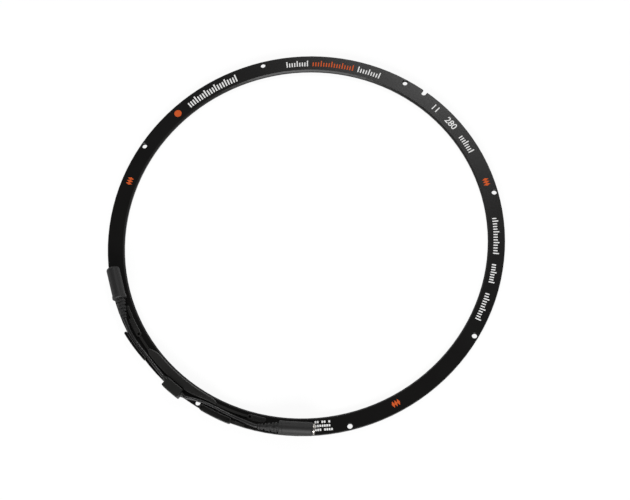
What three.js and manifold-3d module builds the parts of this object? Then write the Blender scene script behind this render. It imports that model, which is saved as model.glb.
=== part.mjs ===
// A dew heater ring for the front of a telescope, lying on its back with its marked face up.
// A flat anodised plate carries a flexible heater and a backing ring behind it, and on its face
// a moulded cable cover, an exit block, two edge guides and two short leads that end in sockets.
// Units are millimetres. The origin is the ring's centre on the surface that it lies on.

import * as THREE from 'three';
import { mergeVertices } from 'three/addons/utils/BufferGeometryUtils.js';
import Module from 'manifold-3d';

// Ring plate
const APERTURE_DIAMETER = 280;
const FACE_WIDTH = 13;
const PLATE_THICKNESS = 3;
const OUTER_CHAMFER = 0.4;
const INNER_CHAMFER = 1.1;
const HOLE_COUNT = 8;
const HOLE_DIAMETER = 4;
const HOLE_EDGE_DISTANCE = 2.95;
const COUNTERSINK_DIAMETER = 5;
const NOTCH_ANGLE = 38.4;
const NOTCH_WIDTH = 4;
const NOTCH_DEPTH = 4;

// Heater and backing ring behind the plate
const REBATE_LIP = 1;
const REBATE_WIDTH = 6.2;
const REBATE_DEPTH = 1.3;
const BACKING_DROP = 1.4;
const HEATER_THICKNESS = 0.5;
const TAIL_WIDTH = 5;
const TAIL_SLOT_LENGTH = 8;
const TAIL_SLOT_WIDTH = 2.6;

// Clearance kept between pieces that seat on each other
const CLEARANCE = 0.3;

// Where the cable exit lies on the ring, in degrees from +X
const CABLE_ANGLE = 216.75;

// Cable cover: a crescent over the wire joints, with an arm and a pad on each side
const COVER_HEIGHT = 2.7;
const COVER_WALL = 1.1;
const COVER_BEVEL = 0.7;
const COVER_RIM_GAP = 1.4;
const COVER_OUTER_OFFSET = 5;
const COVER_TAPER_OFFSET = 7.6;
const COVER_LEFT = 32;
const COVER_RIGHT = 28;
const COVER_BLEND = 8;
const ARM_HEIGHT = 1.6;
const ARM_WIDTH = 1.8;
const PAD_HEIGHT = 2.2;
const PAD_WIDTH = 4;
const LEFT_PAD_START = 49;
const LEFT_PAD_LENGTH = 17;
const TONGUE_LENGTH = 13;
const TONGUE_WIDTH = 2.2;
const TONGUE_SHIFT = 0.8;
const RIGHT_PAD_START = 62.5;
const RIGHT_PAD_LENGTH = 15;
const PAD_HOLE_DIAMETER = 2;

// Exit block that clips over the plate's outer edge
const BLOCK_LENGTH = 15.4;
const BLOCK_OVERHANG = 3.1;
const BLOCK_INNER_OFFSET = 4.6;
const BLOCK_WALL = 1.1;
const BLOCK_HOOK_DEPTH = 2.6;
const BLOCK_CORNER = 1.2;

// Leads and their glands
const LEAD_DIAMETER = 2.6;
const LEAD_SIDES = 8;
const LEAD_STEPS = 20;
const LEFT_EXIT_OFFSET = 2.3;
const RIGHT_EXIT_OFFSET = 0.9;
const GLAND_NECK_DIAMETER = 3;
const GLAND_NECK_LENGTH = 1.2;
const GLAND_COLLAR_DIAMETER = 4;
const GLAND_COLLAR_LENGTH = 0.9;
const GLAND_NOSE_LENGTH = 2;

// Edge guides: an oblong frame over the plate's outer edge on each side
const GUIDE_HEIGHT = 2.2;
const GUIDE_LENGTH = 27;
const GUIDE_WALL = 0.6;
const GUIDE_FLOOR = 0.5;
const GUIDE_HOOK_DEPTH = 1.8;
const LEFT_GUIDE_START = 31;
const LEFT_GUIDE_WIDTH = 2.4;
const LEFT_GUIDE_NEAR_OFFSET = 0.6;
const LEFT_GUIDE_FAR_OFFSET = -1.1;
const RIGHT_GUIDE_START = 24.8;
const RIGHT_GUIDE_WIDTH = 4.4;
const RIGHT_GUIDE_NEAR_OFFSET = 1.4;
const RIGHT_GUIDE_FAR_OFFSET = 1.1;
const STOP_GAP = 2.4;
const STOP_LENGTH = 8;
const STOP_INSET = 0.9;
const STOP_HEIGHT = 1.6;

// In-line sockets: a moulded body with a ribbed strain relief, the same on both leads
const BODY_DIAMETER = 11;
const BODY_LENGTH = 25.5;
const BODY_EDGE = 1.4;
const SHOULDER_DEPTH = 0.7;
const SHOULDER_LENGTH = 2.4;
const RELIEF_LENGTH = 15.5;
const RELIEF_BASE_DIAMETER = 8.2;
const RELIEF_TIP_DIAMETER = 3.8;
const RELIEF_RIBS = 6;
const RIB_DEPTH = 0.8;
const WEB_WIDTH = 1.2;
const SOCKET_BORE_DEPTH = 15;
const LEFT_TIP_DISTANCE = 67;
const LEFT_TIP_OFFSET = 2.9;
const LEFT_MOUTH_OFFSET = 4.3;
const RIGHT_TIP_DISTANCE = 73;
const RIGHT_TIP_OFFSET = 2.4;
const RIGHT_MOUTH_OFFSET = 3.5;

// Sensor jack, with a sleeve, an insulator and two leaf contacts
const JACK_SLEEVE_DIAMETER = 6;
const JACK_BORE_DIAMETER = 3.6;
const JACK_INSULATOR_LENGTH = 4;
const LEAF_LENGTH = 6;
const LEAF_WIDTH = 1;
const LEAF_THICKNESS = 0.3;

// Power socket, with a shell, an insulator and a centre contact
const SHELL_DIAMETER = 8.4;
const SHELL_WALL = 0.6;
const SHELL_PROUD = 1;
const CENTRE_CONTACT_DIAMETER = 3.8;
const CENTRE_BORE_DIAMETER = 3;
const INSULATOR_RECESS = 1;

// Wires and sensor bead under the cover
const WIRE_DIAMETER = 0.8;
const BEAD_DIAMETER = 1;
const BEAD_LENGTH = 3.2;

// Facets on round forms
const RING_SEGMENTS = 120;
const ROUND_SEGMENTS = 22;
const HOLE_SEGMENTS = 16;
const CURVE_SEGMENTS = 10;
const ARC_STEP = 3;
const BEVEL_STEPS = 2;
const WIRE_SIDES = 6;
const WIRE_STEPS_PER_POINT = 3;

// Points closer than this are one point
const MERGE_DISTANCE = 1e-4;

// Sizes that follow from those above
const innerRadius = APERTURE_DIAMETER / 2;
const outerRadius = innerRadius + FACE_WIDTH;
const faceZ = BACKING_DROP + PLATE_THICKNESS;
const seatZ = faceZ + CLEARANCE;
const rebateInner = innerRadius + REBATE_LIP;
const rebateOuter = rebateInner + REBATE_WIDTH;
const rebateMiddle = (rebateInner + rebateOuter) / 2;
const rebateTop = BACKING_DROP + REBATE_DEPTH;
const heaterTop = rebateTop - CLEARANCE;
const heaterBottom = heaterTop - HEATER_THICKNESS;
const leadZ = seatZ + LEAD_DIAMETER / 2;
const exitZ = seatZ + GLAND_COLLAR_DIAMETER / 2;
const bodyRadius = BODY_DIAMETER / 2;
const socketZ = seatZ + bodyRadius;
const coverCeiling = seatZ + COVER_HEIGHT - COVER_WALL;
const CUT = 5;
const cutterWidth = 3 * outerRadius;

const wasm = await Module();
wasm.setup();

/** The angle, in radians, of a point a distance along the outer edge from the cable exit. */
const angleAt = (distance) => THREE.MathUtils.degToRad(CABLE_ANGLE) + distance / outerRadius;

/** A point given by its distance along the edge, its offset inside the edge and its height. */
const pointAt = (distance, offset, z = 0) => {
  const radius = outerRadius - offset;
  const angle = angleAt(distance);
  return new THREE.Vector3(radius * Math.cos(angle), radius * Math.sin(angle), z);
};

/** Turns a closed geometry into a solid that can be joined and cut. */
const solid = (geometry) => {
  const bare = geometry.index ? geometry.toNonIndexed() : geometry.clone();
  bare.deleteAttribute('normal');
  bare.deleteAttribute('uv');
  const merged = mergeVertices(bare, MERGE_DISTANCE);
  return new wasm.Manifold(new wasm.Mesh({
    numProp: 3,
    vertProperties: merged.attributes.position.array,
    triVerts: Uint32Array.from(merged.index.array),
  }));
};

/** Turns a solid back into a geometry. */
const geometryOf = (body) => {
  const mesh = body.getMesh();
  const geometry = new THREE.BufferGeometry();
  geometry.setAttribute('position', new THREE.BufferAttribute(mesh.vertProperties, 3));
  geometry.setIndex(new THREE.BufferAttribute(mesh.triVerts, 1));
  geometry.computeVertexNormals();
  return geometry;
};

/** Extrudes a flat outline upwards from z = bottom to z = top. */
const slab = (shape, bottom, top, bevel = 0) => {
  const geometry = new THREE.ExtrudeGeometry(shape, {
    depth: top - bottom - bevel,
    bevelEnabled: bevel > 0,
    bevelThickness: bevel,
    bevelSize: bevel,
    bevelOffset: -bevel,
    bevelSegments: BEVEL_STEPS,
    curveSegments: CURVE_SEGMENTS,
  });
  geometry.translate(0, 0, bottom);
  if (bevel === 0) {
    return solid(geometry);
  }
  const floor = new THREE.BoxGeometry(cutterWidth, cutterWidth, bevel + CUT);
  floor.translate(0, 0, bottom - (bevel + CUT) / 2);
  return solid(geometry).subtract(solid(floor));
};

/** Points on an arc about a centre, from one angle to another, at most a step apart. */
const arcPoints = (radius, from, to, step, centre = { x: 0, y: 0 }) => {
  const count = Math.max(1, Math.ceil((Math.abs(to - from) * radius) / step));
  return Array.from({ length: count + 1 }, (unused, k) => {
    const angle = from + ((to - from) * k) / count;
    return new THREE.Vector2(
      centre.x + radius * Math.cos(angle), centre.y + radius * Math.sin(angle));
  });
};

/** A band between two radii and two distances along the edge, with square ends. */
const bandShape = (inner, outer, from, to) => new THREE.Shape([
  ...arcPoints(outer, angleAt(from), angleAt(to), ARC_STEP),
  ...arcPoints(inner, angleAt(to), angleAt(from), ARC_STEP),
]);

/** A band with half-round ends, whose centre line moves out by a slant over its length. */
const roundBandShape = (inner, outer, from, to, slant = 0) => {
  const cap = (outer - inner) / 2;
  const middle = (outer + inner) / 2;
  const first = from + cap;
  const length = to - cap - first;
  const steps = Math.max(1, Math.ceil(length / ARC_STEP));
  const edge = (side) => Array.from({ length: steps - 1 }, (unused, k) => {
    const share = (k + 1) / steps;
    const angle = angleAt(first + share * length);
    const radius = middle + share * slant + side * cap;
    return new THREE.Vector2(radius * Math.cos(angle), radius * Math.sin(angle));
  });
  const start = angleAt(first);
  const end = angleAt(first + length);
  const far = middle + slant;
  const step = (cap * Math.PI) / CURVE_SEGMENTS;
  return new THREE.Shape([
    ...edge(1),
    ...arcPoints(cap, end, end + Math.PI, step,
      { x: far * Math.cos(end), y: far * Math.sin(end) }),
    ...edge(-1).reverse(),
    ...arcPoints(cap, start + Math.PI, start + 2 * Math.PI, step,
      { x: middle * Math.cos(start), y: middle * Math.sin(start) }),
  ]);
};

/** An annulus between two heights. */
const ringSolid = (inner, outer, bottom, top) => {
  const profile = [[inner, bottom], [outer, bottom], [outer, top], [inner, top], [inner, bottom]];
  return turned(profile, RING_SEGMENTS);
};

/** Turns a profile of [radius, z] points about the Z axis. */
const turned = (profile, segments) => {
  const points = profile.map(([radius, z]) => new THREE.Vector2(radius, z));
  const geometry = new THREE.LatheGeometry(points, segments);
  geometry.rotateX(Math.PI / 2);
  return solid(geometry);
};

/** An upright round bar, for holes. */
const bar = (diameter, bottom, top, centre, segments = HOLE_SEGMENTS) => {
  const geometry = new THREE.CylinderGeometry(diameter / 2, diameter / 2, top - bottom, segments);
  geometry.rotateX(Math.PI / 2);
  geometry.translate(centre.x, centre.y, (top + bottom) / 2);
  return solid(geometry);
};

/** A round cord of constant diameter along a smooth curve through the given points. */
const cordGeometry = (points, diameter, steps, sides) => {
  const section = new THREE.Shape(Array.from({ length: sides }, (unused, k) => {
    const turn = (2 * Math.PI * k) / sides;
    return new THREE.Vector2(Math.cos(turn), Math.sin(turn)).multiplyScalar(diameter / 2);
  }));
  const curve = new THREE.CatmullRomCurve3(points, false, 'centripetal');
  return new THREE.ExtrudeGeometry(section, { steps, extrudePath: curve, bevelEnabled: false });
};

const material = (color, roughness, metalness = 0) => (
  new THREE.MeshStandardMaterial({ color, roughness, metalness }));

const anodised = material(0x1b1a19, 0.55, 0.6);
const blackPlastic = material(0x232221, 0.6);
const softPlastic = material(0x2b2a29, 0.7);
const cordJacket = material(0x171616, 0.35);
const foam = material(0x202020, 0.95);
const polyimide = material(0xa8641e, 0.4);
const nickel = material(0xb9b7b2, 0.25, 1);
const nylon = material(0xd8d5cc, 0.5);
const redWire = material(0x8e2a20, 0.5);
const greyWire = material(0x77787a, 0.5);
const glassBead = material(0x3a2a1e, 0.3);

/** A named piece. */
const piece = (name, geometry, finish) => {
  const mesh = new THREE.Mesh(geometry, finish);
  mesh.name = name;
  return mesh;
};

/** The upright cutter for one countersunk screw hole. */
const holeCutter = (index) => {
  const angle = (2 * Math.PI * index) / HOLE_COUNT;
  const radius = outerRadius - HOLE_EDGE_DISTANCE;
  const centre = new THREE.Vector3(radius * Math.cos(angle), radius * Math.sin(angle), 0);
  const depth = (COUNTERSINK_DIAMETER - HOLE_DIAMETER) / 2;
  const cone = new THREE.CylinderGeometry(
    COUNTERSINK_DIAMETER / 2 + depth, HOLE_DIAMETER / 2, 2 * depth, HOLE_SEGMENTS);
  cone.rotateX(Math.PI / 2);
  cone.translate(centre.x, centre.y, faceZ);
  return bar(HOLE_DIAMETER, BACKING_DROP - CUT, faceZ + CUT, centre).add(solid(cone));
};

/** The U-shaped cutter for the notch in the plate's outer edge. */
const notchCutter = () => {
  const half = NOTCH_WIDTH / 2;
  const bottom = outerRadius - NOTCH_DEPTH + half;
  const shape = new THREE.Shape();
  shape.moveTo(outerRadius + CUT, half);
  shape.lineTo(bottom, half);
  shape.absarc(bottom, 0, half, Math.PI / 2, (3 * Math.PI) / 2, false);
  shape.lineTo(outerRadius + CUT, -half);
  return slab(shape, BACKING_DROP - CUT, faceZ + CUT).rotate([0, 0, NOTCH_ANGLE]);
};

/** The flat plate: chamfered edges, screw holes, notch, rebate behind and slot for the tail. */
const ringPlate = () => {
  const profile = [
    [innerRadius, BACKING_DROP],
    [rebateInner, BACKING_DROP],
    [rebateInner, rebateTop],
    [rebateOuter, rebateTop],
    [rebateOuter, BACKING_DROP],
    [outerRadius - OUTER_CHAMFER, BACKING_DROP],
    [outerRadius, BACKING_DROP + OUTER_CHAMFER],
    [outerRadius, faceZ - OUTER_CHAMFER],
    [outerRadius - OUTER_CHAMFER, faceZ],
    [innerRadius + INNER_CHAMFER, faceZ],
    [innerRadius, faceZ - INNER_CHAMFER],
    [innerRadius, BACKING_DROP],
  ];
  let plate = turned(profile, RING_SEGMENTS);
  for (let index = 0; index < HOLE_COUNT; index += 1) {
    plate = plate.subtract(holeCutter(index));
  }
  const slotHalf = TAIL_SLOT_LENGTH / 2;
  const slot = roundBandShape(rebateMiddle - TAIL_SLOT_WIDTH / 2,
    rebateMiddle + TAIL_SLOT_WIDTH / 2, -slotHalf, slotHalf);
  plate = plate.subtract(slab(slot, rebateTop - CUT, faceZ + CUT));
  return plate.subtract(notchCutter());
};

/** The flexible heater: a flat ring with a tail that stands up through the plate's slot. */
const heaterElement = () => {
  const track = ringSolid(rebateInner + CLEARANCE, rebateOuter - CLEARANCE, heaterBottom, heaterTop);
  const half = HEATER_THICKNESS / 2;
  const tail = bandShape(rebateMiddle - half, rebateMiddle + half, -TAIL_WIDTH / 2, TAIL_WIDTH / 2);
  return track.add(slab(tail, heaterBottom, coverCeiling - CLEARANCE));
};

/** The ring that closes the rebate, holds the heater up and rests on what is below. */
const backingRing = () => ringSolid(
  rebateInner + CLEARANCE, rebateOuter - CLEARANCE, 0, heaterBottom - CLEARANCE);

/** The crescent's outline, from its inner edge round both tapered ends. */
const crescentShape = (armMiddleLeft, armMiddleRight) => {
  const inner = outerRadius - innerRadius - COVER_RIM_GAP;
  const put = (distance, offset) => pointAt(distance, offset);
  const leftTip = -(COVER_LEFT + COVER_BLEND / 2);
  const rightTip = COVER_RIGHT + COVER_BLEND;
  const shape = new THREE.Shape();
  const leftInner = put(-COVER_LEFT + COVER_BLEND, inner);
  shape.moveTo(leftInner.x, leftInner.y);
  shape.absarc(0, 0, outerRadius - inner, angleAt(-COVER_LEFT + COVER_BLEND),
    angleAt(COVER_RIGHT), false);
  const rightBend = put(COVER_RIGHT + COVER_BLEND / 2, inner);
  const rightInner = put(rightTip, armMiddleRight + ARM_WIDTH / 2);
  shape.quadraticCurveTo(rightBend.x, rightBend.y, rightInner.x, rightInner.y);
  const rightOuter = put(rightTip, armMiddleRight - ARM_WIDTH / 2);
  shape.lineTo(rightOuter.x, rightOuter.y);
  const shoulder = put(COVER_RIGHT, COVER_TAPER_OFFSET);
  shape.lineTo(shoulder.x, shoulder.y);
  const waist = put(BLOCK_LENGTH, COVER_OUTER_OFFSET);
  const blockEdge = put(BLOCK_LENGTH / 2, COVER_OUTER_OFFSET);
  shape.quadraticCurveTo(waist.x, waist.y, blockEdge.x, blockEdge.y);
  shape.absarc(0, 0, outerRadius - COVER_OUTER_OFFSET, angleAt(BLOCK_LENGTH / 2),
    angleAt(-COVER_LEFT), true);
  const leftOuter = put(leftTip, armMiddleLeft - ARM_WIDTH / 2);
  shape.lineTo(leftOuter.x, leftOuter.y);
  const leftEnd = put(leftTip, armMiddleLeft + ARM_WIDTH / 2);
  shape.lineTo(leftEnd.x, leftEnd.y);
  const leftBend = put(-COVER_LEFT + COVER_BLEND / 4, inner);
  shape.quadraticCurveTo(leftBend.x, leftBend.y, leftInner.x, leftInner.y);
  return shape;
};

/** One arm and its pad, on the side that the sign gives. */
const armAndPad = (side, offset, coverEnd, padStart, padLength) => {
  const radius = outerRadius - offset;
  const ends = [coverEnd, padStart + PAD_WIDTH].map((distance) => side * distance);
  const arm = bandShape(radius - ARM_WIDTH / 2, radius + ARM_WIDTH / 2,
    Math.min(...ends), Math.max(...ends));
  const padEnds = [padStart, padStart + padLength].map((distance) => side * distance);
  const pad = roundBandShape(radius - PAD_WIDTH / 2, radius + PAD_WIDTH / 2,
    Math.min(...padEnds), Math.max(...padEnds));
  const hole = bar(PAD_HOLE_DIAMETER, seatZ - CUT, seatZ + PAD_HEIGHT + CUT,
    pointAt(side * (padStart + PAD_WIDTH / 2), offset));
  return slab(arm, seatZ, seatZ + ARM_HEIGHT)
    .add(slab(pad, seatZ, seatZ + PAD_HEIGHT, COVER_BEVEL / 2))
    .subtract(hole);
};

/** The narrow tongue that runs on from the left pad, under the socket's strain relief. */
const tongue = (offset) => {
  const radius = outerRadius - offset - TONGUE_SHIFT;
  const from = LEFT_PAD_START + LEFT_PAD_LENGTH - PAD_WIDTH / 2;
  const shape = roundBandShape(radius - TONGUE_WIDTH / 2, radius + TONGUE_WIDTH / 2,
    -(from + TONGUE_LENGTH), -from);
  return slab(shape, seatZ, seatZ + ARM_HEIGHT, COVER_BEVEL / 2);
};

/** The moulded cover: a hollow crescent, open below, with an arm and a pad on each side. */
const cableCover = () => {
  const leftOffset = COVER_TAPER_OFFSET - ARM_WIDTH / 4;
  const rightOffset = COVER_TAPER_OFFSET + ARM_WIDTH / 2;
  const inner = outerRadius - innerRadius - COVER_RIM_GAP;
  const crescent = slab(crescentShape(leftOffset, rightOffset), seatZ, seatZ + COVER_HEIGHT,
    COVER_BEVEL);
  const chamber = bandShape(outerRadius - inner + COVER_WALL,
    outerRadius - COVER_TAPER_OFFSET - CLEARANCE, -COVER_LEFT / 2, COVER_RIGHT / 2);
  const mouth = bandShape(outerRadius - COVER_TAPER_OFFSET - COVER_WALL,
    outerRadius, -BLOCK_LENGTH / 4, BLOCK_LENGTH / 4);
  return crescent
    .add(armAndPad(-1, leftOffset, COVER_LEFT, LEFT_PAD_START, LEFT_PAD_LENGTH))
    .add(tongue(leftOffset))
    .add(armAndPad(1, rightOffset, COVER_RIGHT, RIGHT_PAD_START, RIGHT_PAD_LENGTH))
    .subtract(slab(chamber, seatZ - CUT, coverCeiling))
    .subtract(slab(mouth, seatZ - CUT, coverCeiling));
};

/** Places a solid that was made along +Z so that its axis runs level from a point. */
const laidAlong = (body, start, direction) => {
  const yaw = THREE.MathUtils.radToDeg(Math.atan2(direction.y, direction.x));
  return body.rotate([0, 90, 0]).rotate([0, 0, yaw]).translate(start.toArray());
};

/** The level direction along the edge, away from the cable exit, at a distance from it. */
const edgeDirection = (distance) => {
  const angle = angleAt(distance);
  const side = Math.sign(distance);
  return new THREE.Vector3(-side * Math.sin(angle), side * Math.cos(angle), 0);
};

/** The bore through one end wall of the exit block. */
const blockBore = (side, offset) => {
  const profile = [
    [0, -BLOCK_WALL - CUT / 2],
    [GLAND_NECK_DIAMETER / 2 + CLEARANCE, -BLOCK_WALL - CUT / 2],
    [GLAND_NECK_DIAMETER / 2 + CLEARANCE, CUT],
    [0, CUT],
  ];
  const end = side * (BLOCK_LENGTH / 2);
  return laidAlong(turned(profile, HOLE_SEGMENTS), pointAt(end, offset, exitZ), edgeDirection(end));
};

/** The exit block: a hollow shell over the plate's edge with a bore for each lead. */
const exitBlock = () => {
  const half = BLOCK_LENGTH / 2;
  const top = exitZ + GLAND_NECK_DIAMETER / 2 + CLEARANCE + BLOCK_WALL;
  const outer = outerRadius + BLOCK_OVERHANG;
  const inner = outerRadius - BLOCK_INNER_OFFSET;
  const shape = new THREE.Shape();
  const start = pointAt(-half, BLOCK_INNER_OFFSET);
  const cornerAngle = BLOCK_CORNER / outer;
  const cap = (angle, radius) => [radius * Math.cos(angle), radius * Math.sin(angle)];
  shape.moveTo(start.x, start.y);
  shape.absarc(0, 0, inner, angleAt(-half), angleAt(half), false);
  shape.lineTo(...cap(angleAt(half), outer - BLOCK_CORNER));
  shape.quadraticCurveTo(...cap(angleAt(half), outer), ...cap(angleAt(half) - cornerAngle, outer));
  shape.absarc(0, 0, outer, angleAt(half) - cornerAngle, angleAt(-half) + cornerAngle, true);
  shape.quadraticCurveTo(...cap(angleAt(-half), outer), ...cap(angleAt(-half), outer - BLOCK_CORNER));
  shape.lineTo(start.x, start.y);
  const edge = ringSolid(innerRadius, outerRadius + CLEARANCE, faceZ - CUT * 2, seatZ);
  const room = bandShape(inner - CUT, outer - BLOCK_WALL, -half + BLOCK_WALL, half - BLOCK_WALL);
  return slab(shape, faceZ - BLOCK_HOOK_DEPTH, top, BLOCK_CORNER / 2)
    .subtract(edge)
    .subtract(slab(room, seatZ, top - BLOCK_WALL))
    .subtract(blockBore(-1, LEFT_EXIT_OFFSET))
    .subtract(blockBore(1, RIGHT_EXIT_OFFSET));
};

/** A gland: a neck inside the block's bore, a collar outside it and a tapered nose. */
const gland = (side, offset) => {
  const neck = GLAND_NECK_DIAMETER / 2;
  const collar = GLAND_COLLAR_DIAMETER / 2;
  const nose = LEAD_DIAMETER / 2;
  const collarEnd = CLEARANCE + GLAND_COLLAR_LENGTH;
  const profile = [
    [0, -GLAND_NECK_LENGTH],
    [neck, -GLAND_NECK_LENGTH],
    [neck, CLEARANCE],
    [collar, CLEARANCE],
    [collar, collarEnd],
    [nose, collarEnd + GLAND_NOSE_LENGTH],
    [0, collarEnd + GLAND_NOSE_LENGTH],
  ];
  const end = side * (BLOCK_LENGTH / 2);
  return laidAlong(turned(profile, ROUND_SEGMENTS), pointAt(end, offset, exitZ), edgeDirection(end));
};

/** An edge guide: an oblong frame with a deep pocket, hooked over the plate's outer edge. */
const edgeGuide = (side, start, nearOffset, farOffset, width, stopLength) => {
  const nearRadius = outerRadius - nearOffset;
  const farRadius = outerRadius - farOffset;
  const outline = (inset, lengthInset) => {
    const half = width / 2 - inset;
    const near = start + lengthInset;
    const far = start + GUIDE_LENGTH - lengthInset;
    return side < 0
      ? roundBandShape(farRadius - half, farRadius + half, -far, -near, nearRadius - farRadius)
      : roundBandShape(nearRadius - half, nearRadius + half, near, far, farRadius - nearRadius);
  };
  const edge = ringSolid(innerRadius, outerRadius + CLEARANCE, faceZ - CUT * 2, seatZ);
  const top = seatZ + GUIDE_HEIGHT;
  let guide = slab(outline(0, 0), faceZ - GUIDE_HOOK_DEPTH, top, GUIDE_WALL / 2)
    .subtract(slab(outline(GUIDE_WALL, 2 * GUIDE_WALL), seatZ + GUIDE_FLOOR, top + CUT));
  if (stopLength > 0) {
    const half = width / 2 - STOP_INSET;
    const stopFrom = side * (start + GUIDE_LENGTH + STOP_GAP);
    const stopTo = stopFrom + side * stopLength;
    const linkFrom = side * (start + GUIDE_LENGTH / 2);
    const stop = bandShape(farRadius - half, farRadius + half,
      Math.min(stopFrom, stopTo), Math.max(stopFrom, stopTo));
    const link = bandShape(farRadius - half, farRadius + half,
      Math.min(linkFrom, stopTo), Math.max(linkFrom, stopTo));
    guide = guide
      .add(slab(stop, seatZ, seatZ + STOP_HEIGHT, GUIDE_WALL / 2))
      .add(slab(link, seatZ, seatZ + GUIDE_FLOOR));
  }
  return guide.subtract(edge);
};

/** The profile of a socket's moulding, from the relief's tip to the body's mouth. */
const housingProfile = (boreDiameter) => {
  const pitch = RELIEF_LENGTH / (2 * RELIEF_RIBS);
  const slope = (RELIEF_BASE_DIAMETER - RELIEF_TIP_DIAMETER) / 2 / RELIEF_LENGTH;
  const radiusAt = (y) => RELIEF_TIP_DIAMETER / 2 + slope * y;
  const points = [[0, 0]];
  for (let rib = 0; rib < RELIEF_RIBS; rib += 1) {
    const start = 2 * rib * pitch;
    points.push([radiusAt(start), start], [radiusAt(start + pitch), start + pitch]);
    points.push([radiusAt(start + pitch) - RIB_DEPTH, start + pitch]);
    points.push([radiusAt(start + 2 * pitch) - RIB_DEPTH, start + 2 * pitch]);
  }
  const mouth = RELIEF_LENGTH + BODY_LENGTH;
  const boreRadius = boreDiameter / 2;
  const boreEnd = mouth - SOCKET_BORE_DEPTH;
  points.push(
    [bodyRadius - SHOULDER_DEPTH, RELIEF_LENGTH],
    [bodyRadius, RELIEF_LENGTH + SHOULDER_DEPTH],
    [bodyRadius, RELIEF_LENGTH + SHOULDER_LENGTH],
    [bodyRadius - SHOULDER_DEPTH / 2, RELIEF_LENGTH + SHOULDER_LENGTH + SHOULDER_DEPTH],
    [bodyRadius - SHOULDER_DEPTH / 2, mouth - BODY_EDGE],
    [bodyRadius - SHOULDER_DEPTH / 2 - BODY_EDGE / 3, mouth - BODY_EDGE / 3],
    [bodyRadius - BODY_EDGE, mouth],
    [boreRadius, mouth],
    [boreRadius, boreEnd],
    [0, boreEnd],
  );
  return points;
};

/** A socket's moulding: staggered webs join each strain relief rib to the next. */
const housing = (name, boreDiameter) => {
  const pitch = RELIEF_LENGTH / (2 * RELIEF_RIBS);
  const slope = (RELIEF_BASE_DIAMETER - RELIEF_TIP_DIAMETER) / 2 / RELIEF_LENGTH;
  let body = turned(housingProfile(boreDiameter), ROUND_SEGMENTS);
  for (let gap = 0; gap < RELIEF_RIBS; gap += 1) {
    const start = (2 * gap + 1) * pitch;
    const reach = RELIEF_TIP_DIAMETER + 2 * slope * start - RIB_DEPTH / 4;
    const web = new THREE.BoxGeometry(reach, WEB_WIDTH, pitch * 2);
    web.rotateZ((gap % 2) * (Math.PI / 2));
    web.translate(0, 0, start + pitch / 2);
    body = body.add(solid(web));
  }
  return piece(name, geometryOf(body), softPlastic);
};

/** A socket piece turned about its own axis, which runs along +Z from the relief's tip. */
const socketPiece = (name, profile, finish) => piece(
  name, geometryOf(turned(profile, ROUND_SEGMENTS)), finish);

/** The parts of the sensor jack inside its moulding. */
const sensorJack = () => {
  const mouth = RELIEF_LENGTH + BODY_LENGTH;
  const back = mouth - SOCKET_BORE_DEPTH + CLEARANCE;
  const sleeveBack = back + JACK_INSULATOR_LENGTH + CLEARANCE;
  const outer = JACK_SLEEVE_DIAMETER / 2;
  const bore = JACK_BORE_DIAMETER / 2;
  const sleeve = [[bore, sleeveBack], [outer, sleeveBack], [outer, mouth], [bore, mouth],
    [bore, sleeveBack]];
  const insulator = [[0, back], [outer, back], [outer, back + JACK_INSULATOR_LENGTH],
    [bore, back + JACK_INSULATOR_LENGTH], [bore, back + LEAF_WIDTH], [0, back + LEAF_WIDTH]];
  const leaves = [-1, 1].map((side) => {
    const leaf = new THREE.BoxGeometry(LEAF_THICKNESS, LEAF_WIDTH, LEAF_LENGTH);
    leaf.translate(side * (bore - LEAF_THICKNESS / 2 - CLEARANCE), 0,
      back + LEAF_WIDTH + CLEARANCE + LEAF_LENGTH / 2);
    return piece(side < 0 ? 'sensor_tip_contact' : 'sensor_ring_contact', leaf, nickel);
  });
  return [
    socketPiece('sensor_socket_sleeve', sleeve, nickel),
    socketPiece('sensor_socket_insulator', insulator, blackPlastic),
    ...leaves,
  ];
};

/** The parts of the power socket inside its moulding. */
const powerSocket = () => {
  const mouth = RELIEF_LENGTH + BODY_LENGTH;
  const back = mouth - SOCKET_BORE_DEPTH + CLEARANCE;
  const shellOuter = SHELL_DIAMETER / 2;
  const shellInner = shellOuter - SHELL_WALL;
  const front = mouth + SHELL_PROUD;
  const shell = [[shellInner, back], [shellOuter, back], [shellOuter, front],
    [shellInner, front], [shellInner, back]];
  const insulatorOuter = shellInner - CLEARANCE;
  const insulatorInner = CENTRE_CONTACT_DIAMETER / 2 + CLEARANCE;
  const insulatorFront = front - INSULATOR_RECESS;
  const insulator = [[insulatorInner, back], [insulatorOuter, back],
    [insulatorOuter, insulatorFront], [insulatorInner, insulatorFront], [insulatorInner, back]];
  const contactOuter = CENTRE_CONTACT_DIAMETER / 2;
  const contactInner = CENTRE_BORE_DIAMETER / 2;
  const contact = [[0, back], [contactOuter, back], [contactOuter, insulatorFront],
    [contactInner, insulatorFront], [contactInner, back + SHELL_WALL], [0, back + SHELL_WALL]];
  return [
    socketPiece('power_socket_shell', shell, nickel),
    socketPiece('power_socket_insulator', insulator, nylon),
    socketPiece('power_socket_contact', contact, nickel),
  ];
};

/** A socket with its inner parts, laid on the plate from its tip towards its mouth. */
const socket = (side, tipDistance, tipOffset, mouthOffset, moulding, innerParts) => {
  const tip = pointAt(side * tipDistance, tipOffset, socketZ);
  const reach = tipDistance + RELIEF_LENGTH + BODY_LENGTH;
  const mouth = pointAt(side * reach, mouthOffset, socketZ);
  const direction = mouth.sub(tip).normalize();
  const group = new THREE.Group();
  group.position.copy(tip);
  group.quaternion.setFromUnitVectors(new THREE.Vector3(0, 0, 1), direction);
  group.add(moulding, ...innerParts);
  return group;
};

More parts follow.
